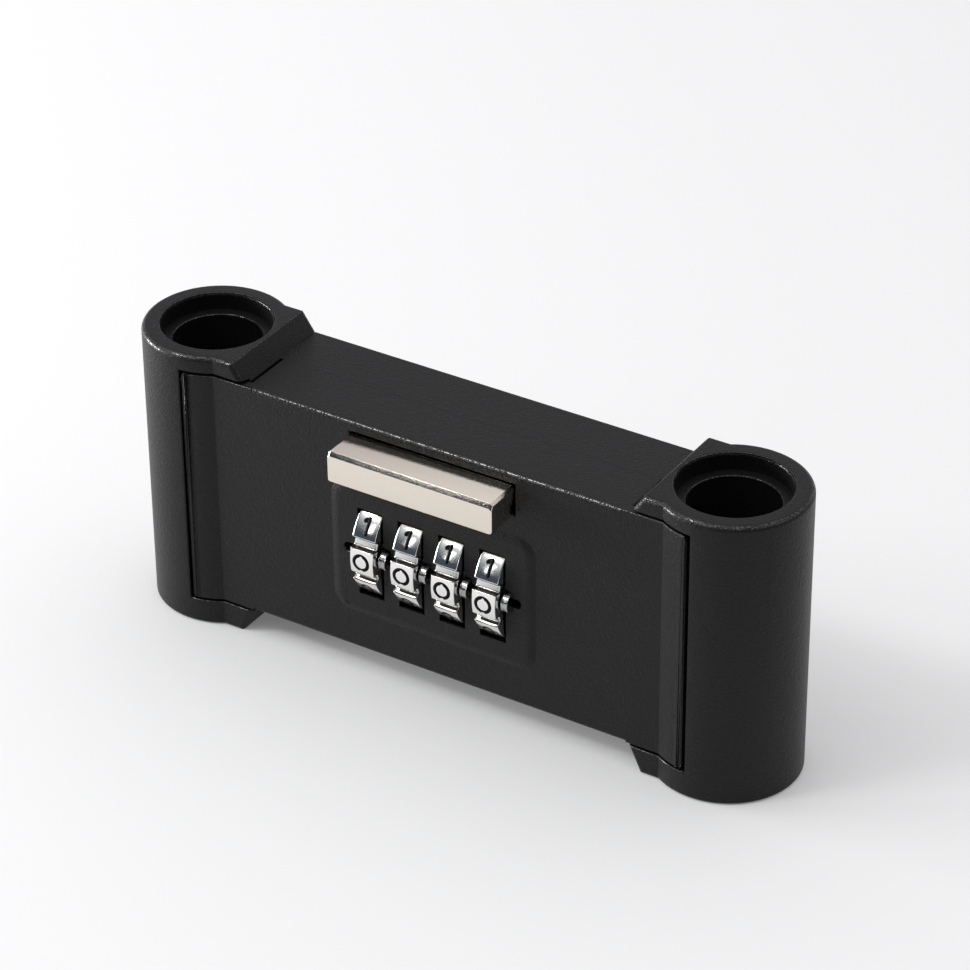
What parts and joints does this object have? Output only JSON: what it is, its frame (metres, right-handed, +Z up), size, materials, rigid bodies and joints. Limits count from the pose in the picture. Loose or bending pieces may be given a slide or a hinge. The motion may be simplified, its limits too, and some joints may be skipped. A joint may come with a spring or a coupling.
{
  "type": "combination lock body",
  "caption": "Black cast combination lock body with number wheels, a sprung release bar and a socket sleeve at each end for the legs of a separate shackle.",
  "frame": {"origin": "middle of the footprint of the standing lock, with its release bar out, on the floor plane", "axes": "+X along the lock from the left socket to the right one, +Y from the dials to the back, +Z up the sockets"},
  "size_m": [0.1468, 0.0359, 0.0624],
  "materials": {
    "casting": "black textured powder coat",
    "nickel": "satin nickel plate",
    "chrome": "bright chrome plate",
    "zinc": "bare die-cast zinc",
    "steel": "zinc-plated steel",
    "spring_steel": "dark spring steel"
  },
  "bodies": {
    "housing": {"rear_housing": "casting", "front_cover": "casting", "cover_screws": "spring_steel", "bar_spring_left": "spring_steel", "bar_spring_right": "spring_steel", "bolt_spring_left": "spring_steel", "bolt_spring_right": "spring_steel", "wheel_frame": "zinc", "frame_screws": "steel", "spindle": "steel", "spindle_spacer": "zinc", "spindle_clips": "spring_steel", "index_comb": "chrome", "comb_screws": "steel", "detent_spring": "spring_steel", "detent_rivets": "steel"},
    "release": {"release_bar": "nickel", "bar_carrier": "zinc", "bar_screws": "steel", "fence_plate": "steel", "fence_rivets": "steel"},
    "bolt_left": {"locking_bolt_left": "steel"},
    "bolt_right": {"locking_bolt_right": "steel"},
    "wheel_1": {"number_wheel_1": "chrome", "wheel_hub_1": "zinc"},
    "wheel_2": {"number_wheel_2": "chrome", "wheel_hub_2": "zinc"},
    "wheel_3": {"number_wheel_3": "chrome", "wheel_hub_3": "zinc"},
    "wheel_4": {"number_wheel_4": "chrome", "wheel_hub_4": "zinc"}
  },
  "joints": [
    {"name": "release_slide", "type": "slide", "parent": "housing", "child": "release", "axis": [0, 1, 0], "range_m": [0, 0.0065], "stiffness_N_per_m": 300, "springref_m": -0.006, "deforming": ["bar_spring_left", "bar_spring_right"]},
    {"name": "bolt_left_slide", "type": "slide", "parent": "housing", "child": "bolt_left", "axis": [-1, 0, 0], "range_m": [0, 0.0053], "stiffness_N_per_m": 120, "springref_m": -0.004, "deforming": ["bolt_spring_left"]},
    {"name": "bolt_right_slide", "type": "slide", "parent": "housing", "child": "bolt_right", "axis": [1, 0, 0], "range_m": [0, 0.0053], "stiffness_N_per_m": 120, "springref_m": -0.004, "deforming": ["bolt_spring_right"]},
    {"name": "wheel_1_spin", "type": "hinge", "parent": "housing", "child": "wheel_1", "pos_m": [-0.01395, -0.00165, 0.0297], "axis": [1, 0, 0], "continuous": true},
    {"name": "wheel_2_spin", "type": "hinge", "parent": "housing", "child": "wheel_2", "pos_m": [-0.00465, -0.00165, 0.0297], "axis": [1, 0, 0], "continuous": true},
    {"name": "wheel_3_spin", "type": "hinge", "parent": "housing", "child": "wheel_3", "pos_m": [0.00465, -0.00165, 0.0297], "axis": [1, 0, 0], "continuous": true},
    {"name": "wheel_4_spin", "type": "hinge", "parent": "housing", "child": "wheel_4", "pos_m": [0.01395, -0.00165, 0.0297], "axis": [1, 0, 0], "continuous": true}
  ],
  "couplings": [
    {"joint": "bolt_left_slide", "follows": "release_slide", "ratio": 0.8},
    {"joint": "bolt_right_slide", "follows": "release_slide", "ratio": 0.8}
  ]
}
